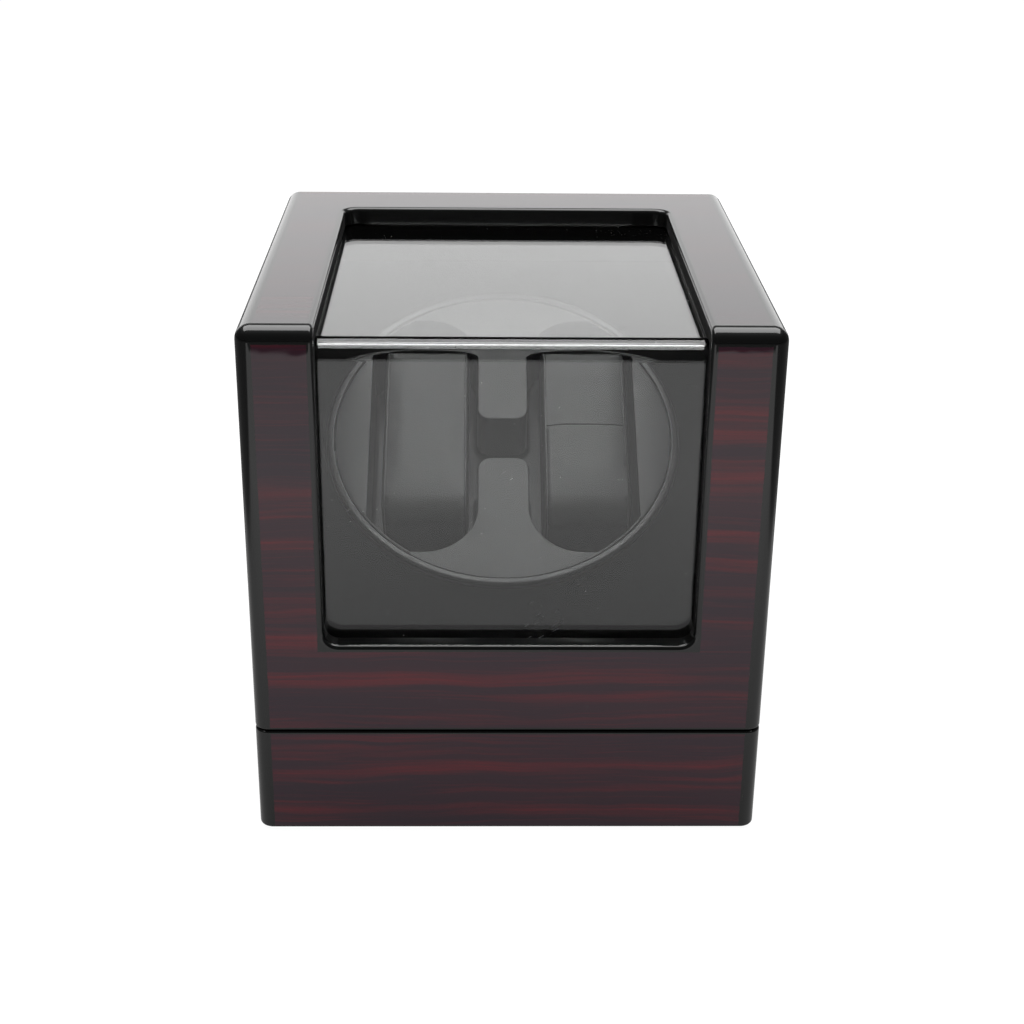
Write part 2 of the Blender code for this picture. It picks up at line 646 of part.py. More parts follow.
# ===========================================================================
# Lid
# ===========================================================================
top_or_upright = lambda a, b: upright(a, b) or (abs(a.z - HEIGHT) < 0.01
                                                and abs(b.z - HEIGHT) < 0.01)
lid = add("lid_shell", on_lid(bevel_edges(
    box_bm(-half, half, 0, DEPTH, LID_BOTTOM, HEIGHT), top_or_upright, EDGE_R)),
    "lacquer", lid_axis)
cut(lid, on_lid(box_bm(-inner, inner, BOARD, DEPTH - BOARD, LID_BOTTOM - 9, HEIGHT - BOARD)),
    lid_axis)


def notch_corner(a, b):
    sill = abs(a.z - OPEN_BOTTOM) < 0.01 and abs(b.z - OPEN_BOTTOM) < 0.01
    back = abs(a.y - OPEN_BACK) < 0.01 and abs(b.y - OPEN_BACK) < 0.01
    along_y = abs(a.y - b.y) > 1 and sill
    along_z = abs(a.z - b.z) > 1 and back
    return along_y or along_z


cut(lid, on_lid(bevel_edges(box_bm(-OPEN_HALF, OPEN_HALF, -12, OPEN_BACK, OPEN_BOTTOM,
                                   HEIGHT + 12), notch_corner, OPEN_R, 4)), lid_axis)
cut(lid, on_lid(merge(*[rod_bm(1.15, DEPTH - 5.7, DEPTH + 1, at=(s * x, 51.0), axis="y",
                               sides=10) for s in (-1, 1) for x in SCREW_X])), lid_axis)
round_off(lid)

o, t = PANE_RECESS, PANE_T
top_o, low_end, back_end = HEIGHT - o, OPEN_BOTTOM - PANE_LAP, OPEN_BACK + PANE_LAP
pane_line = ([(o, low_end)] + arc(o + PANE_BEND, top_o - PANE_BEND, PANE_BEND, 180, 90, 6)
             + [(back_end, top_o), (back_end, top_o - t)]
             + arc(o + PANE_BEND, top_o - PANE_BEND, PANE_BEND - t, 90, 180, 6)
             + [(o + t, low_end)])
pane_half = OPEN_HALF + PANE_LAP
round_off(add("window", on_lid(prism_bm(pane_line, -pane_half, pane_half, "x")),
              "acrylic", lid_axis))

# ===========================================================================
# Hinges
# ===========================================================================
def leaf_bm(x, up):
    z0, z1 = sorted((HINGE_Z + up * 0.0, HINGE_Z + up * LEAF_OUT))
    return box_bm(x - LEAF_W / 2, x + LEAF_W / 2, DEPTH + GAP, DEPTH + GAP + LEAF_T, z0, z1)


k = 0
for side_name, s in (("left", -1), ("right", 1)):
    x = s * HINGE_X
    barrel = lambda: rod_bm(KNUCKLE_R, x - LEAF_W / 2, x + LEAF_W / 2,
                            at=(HINGE_Y, HINGE_Z), axis="x", sides=16)
    bore = lambda: rod_bm(PIN_R + GAP, x - LEAF_W, x + LEAF_W, at=(HINGE_Y, HINGE_Z),
                          axis="x", sides=12)
    middle = CENTRE_KNUCKLE / 2
    clear_z = LEAF_IN
    fixed = add(f"base_hinge_leaf_{side_name}", shifted(leaf_bm(x, -1)), "nickel")
    weld(fixed, shifted(barrel()))
    cut(fixed, shifted(merge(
        box_bm(x - middle - GAP, x + middle + GAP, DEPTH - 2, HINGE_Y + 5,
               HINGE_Z - clear_z, HINGE_Z + 6))))
    cut(fixed, shifted(bore()))
    cut(fixed, shifted(merge(*[rod_bm(1.15, DEPTH - 2, DEPTH + 5, at=(x + d, 31.0), axis="y",
                                      sides=12) for d in (-9, 9)])))
    round_off(fixed)
    moving = add(f"lid_hinge_leaf_{side_name}", on_lid(leaf_bm(x, 1)), "nickel", lid_axis)
    weld(moving, on_lid(barrel()), lid_axis)
    cut(moving, on_lid(merge(
        box_bm(x - LEAF_W, x - middle, DEPTH - 2, HINGE_Y + 5, HINGE_Z - 6, HINGE_Z + clear_z),
        box_bm(x + middle, x + LEAF_W, DEPTH - 2, HINGE_Y + 5, HINGE_Z - 6,
               HINGE_Z + clear_z))), lid_axis)
    cut(moving, on_lid(bore()), lid_axis)
    cut(moving, on_lid(merge(*[rod_bm(1.15, DEPTH - 2, DEPTH + 5, at=(x + d, 51.0), axis="y",
                                      sides=12) for d in (-9, 9)])), lid_axis)
    round_off(moving)
    round_off(add(f"hinge_pin_{side_name}", shifted(rod_bm(
        PIN_R, x - LEAF_W / 2 - 0.2, x + LEAF_W / 2 + 0.2, at=(HINGE_Y, HINGE_Z),
        axis="x", sides=12)), "steel"))
    for d in (-9, 9):
        k += 1
        head_y = FRONT_Y + DEPTH + GAP + LEAF_T + GAP
        place_screw(f"base_hinge_screw_{k}", screw_bm(2.1, 1.3, 0.8, 6.6),
                    (x + d, head_y, 31.0), (0, 1, 0), "nickel")
        lid_screw = place_screw(f"lid_hinge_screw_{k}", screw_bm(2.1, 1.3, 0.8, 6.6),
                                (x + d, head_y, 51.0), (0, 1, 0), "nickel")
        lid_screw.parent = lid_axis
        lid_screw.matrix_parent_inverse = lid_axis.matrix_world.inverted()

bpy.context.view_layer.update()
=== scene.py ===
"""Looks of the two-watch winder box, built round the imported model.

Everything is in metres in the model's own frame.  Numbers below are in
millimetres, with depth counted from the front face of the case.
"""

import math

import bmesh
import bpy
from mathutils import Matrix, Vector
from mathutils.bvhtree import BVHTree


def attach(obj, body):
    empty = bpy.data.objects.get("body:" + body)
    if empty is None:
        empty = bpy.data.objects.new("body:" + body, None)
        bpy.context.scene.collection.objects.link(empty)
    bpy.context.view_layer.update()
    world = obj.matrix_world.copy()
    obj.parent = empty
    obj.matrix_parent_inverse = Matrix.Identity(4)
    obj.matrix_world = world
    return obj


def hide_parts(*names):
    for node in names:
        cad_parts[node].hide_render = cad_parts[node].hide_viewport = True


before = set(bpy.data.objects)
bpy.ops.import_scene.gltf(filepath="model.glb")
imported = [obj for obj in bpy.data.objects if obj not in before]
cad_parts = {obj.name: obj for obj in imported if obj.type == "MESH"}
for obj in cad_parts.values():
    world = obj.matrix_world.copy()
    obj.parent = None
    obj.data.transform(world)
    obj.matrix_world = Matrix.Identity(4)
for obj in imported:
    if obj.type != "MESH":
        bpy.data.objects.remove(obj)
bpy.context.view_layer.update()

MM = 0.001
FRONT = -95.5                  # the front face's y in the frame
WIDTH, DEPTH, HEIGHT = 175.0, 182.0, 186.0
BOARD, EDGE_R = 6.5, 5.0
FOOT_H, BASE_TOP, LID_BOTTOM = 1.5, 40.8, 41.2
OPEN_HALF, OPEN_BOTTOM, OPEN_BACK, OPEN_R = 62.5, 74.0, 151.5, 5.0
PANE_T, PANE_RECESS, PANE_LAP, PANE_BEND = 2.8, 6.8, 7.5, 6.5
TILT = math.radians(32.8)
FACE = Vector((-1.3, 95.95, 113.6))
RIM_R, RIM_IN, FACE_R, FACE_T = 66.5, 63.6, 63.3, 3.0
SLOT_IN, SLOT_OUT, SLOT_END, SLOT_END_R, SLOT_CLIP = 9.55, 50.05, 52.0, 19.5, 62.1
BRIDGE_LOW, BRIDGE_HIGH, TAB_R, POCKET = -10.6, 7.2, 5.0, 26.0
PILLOW_W, PILLOW_L, PILLOW_R, PILLOW_OUT, PILLOW_DEPTH = 32.0, 84.0, 9.0, 8.5, 25.4
PILLOW_U = {"left": -28.8, "right": 30.6}
CHEEK_OUT, CARCASS_FRONT, CARCASS_BACK = 78.7, 9.0, 172.2

TABLE = (Matrix.Translation(Vector((FACE.x, FACE.y + FRONT, FACE.z)) * MM)
         @ Matrix.Rotation(TILT, 4, "X"))
WORLD = Matrix.Translation(Vector((0, FRONT, 0)) * MM)


# ===========================================================================
# Node helpers
# ===========================================================================
class Nodes:
    """A short way to write a material's node tree."""

    def __init__(self, name, kind="mat"):
        if kind == "mat":
            self.mat = bpy.data.materials.new(name)
        else:
            self.mat = bpy.data.worlds.new(name)
        self.mat.use_nodes = True
        self.tree = self.mat.node_tree
        self.tree.nodes.clear()

    def new(self, kind, **props):
        n = self.tree.nodes.new(kind)
        for k, v in props.items():
            setattr(n, k, v)
        return n

    def put(self, socket, value):
        if hasattr(value, "links") and hasattr(value, "node"):
            self.tree.links.new(value, socket)
        elif isinstance(value, (tuple, list)) and len(value) == 3 and socket.type == "RGBA":
            socket.default_value = (*value, 1.0)
        else:
            socket.default_value = value

    def math(self, op, a, b=None, c=None, clamp=False):
        n = self.new("ShaderNodeMath", operation=op, use_clamp=clamp)
        self.put(n.inputs[0], a)
        if b is not None:
            self.put(n.inputs[1], b)
        if c is not None:
            self.put(n.inputs[2], c)
        return n.outputs[0]

    def step(self, value, low, high):
        n = self.new("ShaderNodeMapRange", interpolation_type="SMOOTHSTEP", clamp=True)
        self.put(n.inputs["Value"], value)
        self.put(n.inputs["From Min"], low)
        self.put(n.inputs["From Max"], high)
        return n.outputs[0]

    def scale(self, value, low, high, out_low, out_high):
        n = self.new("ShaderNodeMapRange", clamp=True)
        for key, v in (("Value", value), ("From Min", low), ("From Max", high),
                       ("To Min", out_low), ("To Max", out_high)):
            self.put(n.inputs[key], v)
        return n.outputs[0]

    def vector(self, x, y, z):
        n = self.new("ShaderNodeCombineXYZ")
        for s, v in zip(n.inputs, (x, y, z)):
            self.put(s, v)
        return n.outputs[0]

    def split(self, v):
        n = self.new("ShaderNodeSeparateXYZ")
        self.put(n.inputs[0], v)
        return n.outputs

    def object_mm(self):
        n = self.new("ShaderNodeTexCoord")
        s = self.new("ShaderNodeVectorMath", operation="SCALE")
        self.put(s.inputs[0], n.outputs["Object"])
        s.inputs["Scale"].default_value = 1000.0
        return s.outputs[0], n.outputs["Normal"]

    def scaled(self, v, by):
        s = self.new("ShaderNodeVectorMath", operation="MULTIPLY")
        self.put(s.inputs[0], v)
        self.put(s.inputs[1], by if isinstance(by, tuple) else (by, by, by))
        return s.outputs[0]

    def noise(self, v, scale=1.0, detail=2.0, rough=0.5, distort=0.0, colour=False):
        n = self.new("ShaderNodeTexNoise", noise_dimensions="3D")
        self.put(n.inputs["Vector"], v)
        n.inputs["Scale"].default_value = scale
        n.inputs["Detail"].default_value = detail
        n.inputs["Roughness"].default_value = rough
        n.inputs["Distortion"].default_value = distort
        return n.outputs["Color" if colour else "Fac"]

    def voronoi(self, v, scale=1.0, feature="F1", out="Distance", randomness=1.0):
        n = self.new("ShaderNodeTexVoronoi", feature=feature)
        self.put(n.inputs["Vector"], v)
        n.inputs["Scale"].default_value = scale
        n.inputs["Randomness"].default_value = randomness
        return n.outputs[out]

    def mix(self, fac, a, b, blend="MIX"):
        n = self.new("ShaderNodeMix", data_type="RGBA", blend_type=blend)
        self.put(n.inputs[0], fac)
        self.put(n.inputs[6], a)
        self.put(n.inputs[7], b)
        return n.outputs[2]

    def bump(self, height, distance_mm, strength=1.0, normal=None):
        n = self.new("ShaderNodeBump")
        self.put(n.inputs["Height"], height)
        n.inputs["Distance"].default_value = distance_mm * MM
        n.inputs["Strength"].default_value = strength
        if normal is not None:
            self.put(n.inputs["Normal"], normal)
        return n.outputs[0]

    def shader(self, **sockets):
        b = self.new("ShaderNodeBsdfPrincipled")
        out = self.new("ShaderNodeOutputMaterial")
        self.tree.links.new(b.outputs[0], out.inputs[0])
        for key, value in sockets.items():
            self.put(b.inputs[key.replace("_", " ")], value)
        self.bsdf = b
        return self.mat


# ===========================================================================
# Materials
# ===========================================================================
def lacquer_material(name, low, high):
    """Striped veneer under clear lacquer, black at the edges.  low and high
    are the heights between which the veneer runs."""
    m = Nodes(name)
    p, normal = m.object_mm()
    x, y, z = m.split(p)
    nx, ny, nz = m.split(normal)
    dx = m.math("SUBTRACT", WIDTH / 2, m.math("ABSOLUTE", x))
    dy = m.math("SUBTRACT", DEPTH / 2,
                m.math("ABSOLUTE", m.math("SUBTRACT", y, FRONT + DEPTH / 2)))
    dz = m.math("SUBTRACT", HEIGHT, z)
    nearest = m.math("MINIMUM", m.math("MINIMUM", dx, dy), dz)
    second = m.math("MAXIMUM", m.math("MINIMUM", dx, dy),
                    m.math("MINIMUM", m.math("MAXIMUM", dx, dy), dz))
    notch = m.math("MAXIMUM", m.math("SUBTRACT", m.math("ABSOLUTE", x), OPEN_HALF),
                   m.math("MAXIMUM", m.math("SUBTRACT", OPEN_BOTTOM, z),
                          m.math("SUBTRACT", y, FRONT + OPEN_BACK)))
    ragged = m.noise(m.scaled(p, 0.35), detail=3.0)
    ragged = m.math("MULTIPLY", m.math("SUBTRACT", ragged, 0.5), 0.5)
    edge = m.step(m.math("ADD", second, ragged), 5.35, 5.85)
    mask = m.math("MULTIPLY", edge, m.math("LESS_THAN", nearest, 1.0))
    mask = m.math("MULTIPLY", mask, m.step(m.math("ADD", notch, ragged), 1.9, 2.4))
    mask = m.math("MULTIPLY", mask, m.step(z, low, low + 0.4))
    mask = m.math("MULTIPLY", mask, m.math("SUBTRACT", 1.0, m.step(z, high - 0.4, high)))

    side = m.math("GREATER_THAN", m.math("ABSOLUTE", nx), 0.7)
    top = m.math("GREATER_THAN", m.math("ABSOLUTE", nz), 0.7)
    back = m.math("GREATER_THAN", ny, 0.7)
    along = m.math("ADD", m.math("MULTIPLY", x, m.math("SUBTRACT", 1.0, side)),
                   m.math("MULTIPLY", y, side))
    across = m.math("ADD", m.math("MULTIPLY", z, m.math("SUBTRACT", 1.0, top)),
                    m.math("MULTIPLY", y, top))
    seed = m.math("ADD", m.math("MULTIPLY", side, m.math("ADD", 40.0,
                                m.math("MULTIPLY", m.math("SIGN", nx), 9.0))),
                  m.math("ADD", m.math("MULTIPLY", top, 83.0), m.math("MULTIPLY", back, 61.0)))
    wave = m.noise(m.vector(m.math("MULTIPLY", along, 0.016), m.math("MULTIPLY", across, 0.03),
                            seed), detail=2.0)
    bend = m.math("ADD", across, m.math("MULTIPLY", m.math("SUBTRACT", wave, 0.5), 7.5))
    broad = m.noise(m.vector(m.math("MULTIPLY", along, 0.004), m.math("MULTIPLY", bend, 0.060),
                             seed), detail=2.0, rough=0.5)
    streak = m.noise(m.vector(m.math("MULTIPLY", along, 0.006), m.math("MULTIPLY", bend, 0.17),
                              m.math("ADD", seed, 5.0)), detail=3.0, rough=0.6)
    fine = m.noise(m.vector(m.math("MULTIPLY", along, 0.022), m.math("MULTIPLY", bend, 0.9),
                            m.math("ADD", seed, 11.0)), detail=3.0, rough=0.6)
    pores = m.noise(m.vector(m.math("MULTIPLY", along, 0.30), m.math("MULTIPLY", bend, 6.0),
                             m.math("ADD", seed, 17.0)), detail=2.0)
    red = m.math("MULTIPLY", m.step(streak, 0.44, 0.68), m.scale(broad, 0.35, 0.6, 0.45, 1.0))
    red = m.math("MULTIPLY", red, m.scale(fine, 0.35, 0.6, 0.55, 1.0))
    red = m.math("ADD", red, m.math("MULTIPLY", m.step(fine, 0.52, 0.70), 0.22), clamp=True)
    ground = m.mix(m.step(broad, 0.3, 0.65), (0.030, 0.0055, 0.022), (0.052, 0.0060, 0.022))
    veneer = m.mix(red, ground, (0.195, 0.0050, 0.017))
    veneer = m.mix(m.math("MULTIPLY", m.step(pores, 0.58, 0.72), 0.35), veneer,
                   (0.014, 0.007, 0.010))
    # Painted shade: the veneer on faces that point up or down, mostly the lid's top, is darkened
    # nearly to black so the top reads dark under the overhead light.
    veneer = m.mix(m.math("MULTIPLY", top, 0.86), veneer, (0.006, 0.004, 0.006))
    colour = m.mix(mask, (0.0035, 0.0038, 0.0038), veneer)
    peel = m.noise(m.scaled(p, 0.16), detail=1.0)
    normal = m.bump(peel, 0.02, 0.35)
    mat = m.shader(Base_Color=colour, Roughness=0.42, Specular_IOR_Level=0.12,
                   Coat_Weight=1.0, Coat_Roughness=0.012, Coat_IOR=1.5)
    m.tree.links.new(normal, m.bsdf.inputs["Coat Normal"])
    return mat


def flock_material(name, tone=0.0045, sheen=0.05):
    m = Nodes(name)
    p, _ = m.object_mm()
    fibre = m.noise(m.scaled(p, 4.5), detail=3.0, rough=0.7)
    drift = m.noise(m.scaled(p, 0.05), detail=2.0)
    shade = m.math("MULTIPLY", m.scale(fibre, 0.25, 0.75, 0.6, 1.5),
                   m.scale(drift, 0.3, 0.7, 0.85, 1.15))
    colour = m.mix(1.0, (tone, tone, tone * 1.03), m.vector(shade, shade, shade), "MULTIPLY")
    return m.shader(Base_Color=colour, Roughness=0.95, Specular_IOR_Level=0.12,
                    Sheen_Weight=sheen, Sheen_Roughness=0.4,
                    Normal=m.bump(fibre, 0.12, 0.6))


def moulded_material(name, tone, rough, grain=0.012, spec=0.5):
    m = Nodes(name)
    p, _ = m.object_mm()
    speck = m.noise(m.scaled(p, 2.8), detail=2.0, rough=0.6)
    cloud = m.noise(m.scaled(p, 0.06), detail=2.0)
    return m.shader(
        Base_Color=m.mix(m.step(cloud, 0.3, 0.7), tuple(t * 0.88 for t in tone),
                         tuple(t * 1.1 for t in tone)),
        Roughness=m.scale(cloud, 0.3, 0.7, rough - 0.025, rough + 0.025),
        Specular_IOR_Level=spec, Normal=m.bump(speck, grain, 0.5))


def leather_material(name):
    m = Nodes(name)
    p, _ = m.object_mm()
    warp = m.noise(m.scaled(p, 0.5), detail=2.0, colour=True)
    q = m.new("ShaderNodeVectorMath", operation="MULTIPLY_ADD")
    m.put(q.inputs[0], warp)
    q.inputs[1].default_value = (0.9, 0.9, 0.9)
    m.put(q.inputs[2], p)
    cells = m.voronoi(q.outputs[0], 1.15, "SMOOTH_F1")
    creases = m.voronoi(q.outputs[0], 1.15, "DISTANCE_TO_EDGE")
    fine = m.noise(m.scaled(p, 3.2), detail=3.0, rough=0.65)
    cloud = m.noise(m.scaled(p, 0.09), detail=3.0)
    height = m.math("ADD", m.math("MULTIPLY", m.step(creases, 0.0, 0.16), 0.7),
                    m.math("ADD", m.math("MULTIPLY", fine, 0.45),
                           m.math("MULTIPLY", cells, -0.2)))
    colour = m.mix(m.step(cloud, 0.3, 0.7), (0.0105, 0.0105, 0.0105), (0.016, 0.0157, 0.0155))
    return m.shader(Base_Color=colour,
                    Roughness=m.scale(fine, 0.3, 0.7, 0.46, 0.58),
                    Specular_IOR_Level=0.5, Normal=m.bump(height, 0.05, 0.55))


def metal_material(name, tone, rough, brush=(0.4, 6.0, 6.0)):
    m = Nodes(name)
    p, _ = m.object_mm()
    lines = m.noise(m.scaled(p, brush), detail=3.0, rough=0.6)
    cloud = m.noise(m.scaled(p, 0.25), detail=2.0)
    return m.shader(
        Base_Color=m.mix(m.step(cloud, 0.35, 0.7), tuple(t * 0.86 for t in tone), tone),
        Metallic=1.0, Roughness=m.scale(lines, 0.3, 0.7, rough * 0.75, rough * 1.3),
        Normal=m.bump(lines, 0.01, 0.5))


def acrylic_material(name):
    m = Nodes(name)
    p, _ = m.object_mm()
    x, y, z = m.split(p)
    tilted = m.vector(m.math("ADD", m.math("MULTIPLY", x, 0.9), m.math("MULTIPLY", z, 0.5)),
                      m.math("MULTIPLY", y, 1.0),
                      m.math("SUBTRACT", m.math("MULTIPLY", z, 0.9), m.math("MULTIPLY", x, 0.5)))
    hair = m.noise(m.scaled(tilted, (0.12, 1.2, 2.6)), detail=1.0)
    patch = m.noise(m.scaled(p, 0.035), detail=2.0)
    hair = m.math("MULTIPLY", m.step(hair, 0.735, 0.765), m.step(patch, 0.56, 0.64))
    dust = m.voronoi(m.scaled(p, 0.33), 1.0)
    dust = m.math("MULTIPLY", m.math("SUBTRACT", 1.0, m.step(dust, 0.03, 0.06)),
                  m.step(m.noise(m.scaled(p, 0.06), detail=1.0), 0.5, 0.6))
    rough = m.math("MULTIPLY", m.math("MAXIMUM", hair, dust), 0.3, clamp=True)
    return m.shader(Base_Color=(0.975, 0.985, 0.98), Roughness=rough, IOR=1.49,
                    Transmission_Weight=1.0)


def board_material(name):
    m = Nodes(name)
    p, _ = m.object_mm()
    brick = m.new("ShaderNodeTexBrick", offset=0.5)
    m.put(brick.inputs["Vector"], m.scaled(p, 0.22))
    brick.inputs["Scale"].default_value = 1.0
    brick.inputs["Mortar Size"].default_value = 0.035
    brick.inputs["Color1"].default_value = (0.012, 0.11, 0.045, 1)
    brick.inputs["Color2"].default_value = (0.014, 0.13, 0.05, 1)
    brick.inputs["Mortar"].default_value = (0.03, 0.22, 0.09, 1)
    z = m.split(p)[2]
    raised = m.step(z, 10.9, 11.1)
    return m.shader(Base_Color=m.mix(raised, brick.outputs["Color"], (0.02, 0.02, 0.022)),
                    Roughness=0.4)


BLACK_TRIM = (0.016, 0.016, 0.0165)
lid_lacquer = lacquer_material("lid_lacquer", LID_BOTTOM + 0.9, 500.0)
base_lacquer = lacquer_material("base_lacquer", FOOT_H + 0.7, BASE_TOP - 0.9)
flock = flock_material("flock", 0.0028, 0.012)
lining = flock_material("lining", 0.003, 0.01)
satin = moulded_material("satin_black", (0.0095, 0.0095, 0.0097), 0.36, spec=0.3)
rim_mat = moulded_material("rim_black", (0.0095, 0.0095, 0.0097), 0.3, 0.006, 0.35)
leather = leather_material("pillow_leather")
seam_dark = moulded_material("seam_dark", (0.0025, 0.0025, 0.0025), 0.7, spec=0.1)
thread = moulded_material("piping", (0.012, 0.012, 0.012), 0.5, 0.03)
acrylic = acrylic_material("clear_acrylic")
nickel = metal_material("nickel", (0.70, 0.68, 0.63), 0.24)
zinc = metal_material("zinc_steel", (0.58, 0.59, 0.60), 0.36)
fittings = moulded_material("black_fittings", BLACK_TRIM, 0.42, 0.03)
rubber = moulded_material("rubber", (0.014, 0.014, 0.014), 0.75, 0.05, 0.3)
nylon = moulded_material("nylon", (0.72, 0.70, 0.64), 0.45, 0.01)
panel_mat = flock_material("underside_flock", 0.012, 0.1)
green_board = board_material("green_board")


# ===========================================================================
# Mesh helpers (millimetres, turned into metres at the end)
# ===========================================================================
def finish_mesh(name, bm, mats, matrix=WORLD, sharp=35, weighted=True, slot=None, recalc=True):
    if recalc:
        bmesh.ops.recalc_face_normals(bm, faces=bm.faces)
    for v in bm.verts:
        v.co *= MM
    mesh = bpy.data.meshes.new(name)
    bm.to_mesh(mesh)
    bm.free()
    mesh.transform(matrix)
    mesh.shade_smooth()
    if sharp:
        mesh.set_sharp_from_angle(angle=math.radians(sharp))
    obj = bpy.data.objects.new(name, mesh)
    bpy.context.scene.collection.objects.link(obj)
    for mat in mats if isinstance(mats, (list, tuple)) else [mats]:
        mesh.materials.append(mat)
    if weighted:
        mod = obj.modifiers.new("Weighted", "WEIGHTED_NORMAL")
        mod.keep_sharp = True
        mod.weight = 90
    return obj


def baked(obj):
    """Applies the modifiers to a new mesh of the object's own."""
    dg = bpy.context.evaluated_depsgraph_get()
    mesh = bpy.data.meshes.new_from_object(obj.evaluated_get(dg), depsgraph=dg)
    old = obj.data
    obj.modifiers.clear()
    obj.data = mesh
    mesh.name = old.name
    bpy.data.meshes.remove(old)
    return obj


def box_bm(x0, x1, y0, y1, z0, z1):
    bm = bmesh.new()
    bmesh.ops.create_cube(bm, size=1.0)
    for v in bm.verts:
        v.co = Vector((x1 if v.co.x > 0 else x0, y1 if v.co.y > 0 else y0,
                       z1 if v.co.z > 0 else z0))
    return bm


def bevelled(bm, test, radius, segments):
    edges = [e for e in bm.edges if test(e.verts[0].co, e.verts[1].co)]
    bmesh.ops.bevel(bm, geom=edges, offset=radius, segments=segments, profile=0.5,
                    affect="EDGES", clamp_overlap=True)
    return bm


def boolean(obj, bm, how="DIFFERENCE"):
    tool = finish_mesh("tool", bm, [], weighted=False, sharp=None)
    mod = obj.modifiers.new("cut", "BOOLEAN")
    mod.operation, mod.object, mod.solver = how, tool, "EXACT"
    baked(obj)
    bpy.data.objects.remove(tool, do_unlink=True)
    return obj


def arc(cx, cy, r, a0, a1, steps):
    return [(cx + r * math.cos(math.radians(a0 + (a1 - a0) * i / steps)),
             cy + r * math.sin(math.radians(a0 + (a1 - a0) * i / steps)))
            for i in range(steps + 1)]


def prism_x(outline, low, high):
    bm = bmesh.new()
    a = [bm.verts.new((low, y, z)) for y, z in outline]
    b = [bm.verts.new((high, y, z)) for y, z in outline]
    bm.faces.new(a)
    bm.faces.new(list(reversed(b)))
    n = len(a)
    for i in range(n):
        j = (i + 1) % n
        bm.faces.new((a[i], a[j], b[j], b[i]))
    return bm


def lathe(profile, sides=96):
    """Closed solid turned about z; the profile's ends may lie on the axis."""
    bm = bmesh.new()
    rings = []
    for r, h in profile:
        if r < 1e-6:
            rings.append([bm.verts.new((0, 0, h))])
        else:
            rings.append([bm.verts.new((r * math.cos(2 * math.pi * i / sides),
                                        r * math.sin(2 * math.pi * i / sides), h))
                          for i in range(sides)])
    closed = rings if profile[0][0] < 1e-6 else rings + [rings[0]]
    for a, b in zip(closed, closed[1:]):
        for i in range(sides):
            j = (i + 1) % sides
            if len(a) == 1:
                bm.faces.new((a[0], b[i], b[j]))
            elif len(b) == 1:
                bm.faces.new((a[i], b[0], a[j]))
            else:
                bm.faces.new((a[i], b[i], b[j], a[j]))
    return bm


def place(obj, body, *nodes, slot=None):
    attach(obj, body)
    if nodes:
        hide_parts(*nodes)
    return obj


# ===========================================================================
# Case: lid shell and base
# ===========================================================================
def upright(a, b):
    return abs(a.x - b.x) < 0.01 and abs(a.y - b.y) < 0.01


def rounded_distance(x, y, z):
    """Distance to the case's rounded outside, from depth-counted mm."""
    qx = abs(x) - (WIDTH / 2 - EDGE_R)
    qy = abs(y - DEPTH / 2) - (DEPTH / 2 - EDGE_R)
    qz = z - (HEIGHT - EDGE_R)
    out = Vector((max(qx, 0), max(qy, 0), max(qz, 0))).length
    return out + min(max(qx, qy, qz), 0) - EDGE_R


def set_bevels(obj, weight_of, width, segments):
    """Rounds the edges that weight_of gives a weight, then fixes the normals."""
    bm = bmesh.new()
    bm.from_mesh(obj.data)
    bmesh.ops.remove_doubles(bm, verts=bm.verts, dist=1e-6)
    bmesh.ops.dissolve_limit(bm, angle_limit=math.radians(0.4), verts=bm.verts,
                             edges=bm.edges, delimit=set())
    layer = bm.edges.layers.float.get("bevel_weight_edge") or \
        bm.edges.layers.float.new("bevel_weight_edge")
    for e in bm.edges:
        if len(e.link_faces) == 2 and e.calc_face_angle() > math.radians(40):
            a, b = (Vector((v.co.x / MM, v.co.y / MM - FRONT, v.co.z / MM)) for v in e.verts)
            e[layer] = weight_of(a, b)
    bm.to_mesh(obj.data)
    bm.free()
    mod = obj.modifiers.new("Bevel", "BEVEL")
    mod.width, mod.segments, mod.limit_method = width * MM, segments, "WEIGHT"
    mod.use_clamp_overlap = False
    mod.miter_outer = "MITER_ARC"
    baked(obj)
    obj.data.shade_smooth()
    obj.data.set_sharp_from_angle(angle=math.radians(38))
    mod = obj.modifiers.new("Weighted", "WEIGHTED_NORMAL")
    mod.keep_sharp, mod.weight = True, 90
    return obj


def assign(obj, test):
    """Gives a face the second material where test(centre in mm) is true."""
    for f in obj.data.polygons:
        c = f.center
        if test(Vector((c.x / MM, c.y / MM - FRONT, c.z / MM)), f.normal):
            f.material_index = 1


HALF = WIDTH / 2
INNER = HALF - BOARD

top_or_upright = lambda a, b: upright(a, b) or (abs(a.z - HEIGHT) < 0.01
                                                and abs(b.z - HEIGHT) < 0.01)
lid = finish_mesh("lid_case", bevelled(box_bm(-HALF, HALF, 0, DEPTH, LID_BOTTOM, HEIGHT),
                                       top_or_upright, EDGE_R, 10),
                  [lid_lacquer, lining], weighted=False)
boolean(lid, box_bm(-INNER, INNER, BOARD, DEPTH - BOARD, LID_BOTTOM - 9, HEIGHT - BOARD))


def notch_corner(a, b):
    sill = abs(a.z - OPEN_BOTTOM) < 0.01 and abs(b.z - OPEN_BOTTOM) < 0.01
    back = abs(a.y - OPEN_BACK) < 0.01 and abs(b.y - OPEN_BACK) < 0.01
    return (abs(a.y - b.y) > 1 and sill) or (abs(a.z - b.z) > 1 and back)


boolean(lid, bevelled(box_bm(-OPEN_HALF, OPEN_HALF, -12, OPEN_BACK, OPEN_BOTTOM, HEIGHT + 12),
                      notch_corner, OPEN_R, 8))


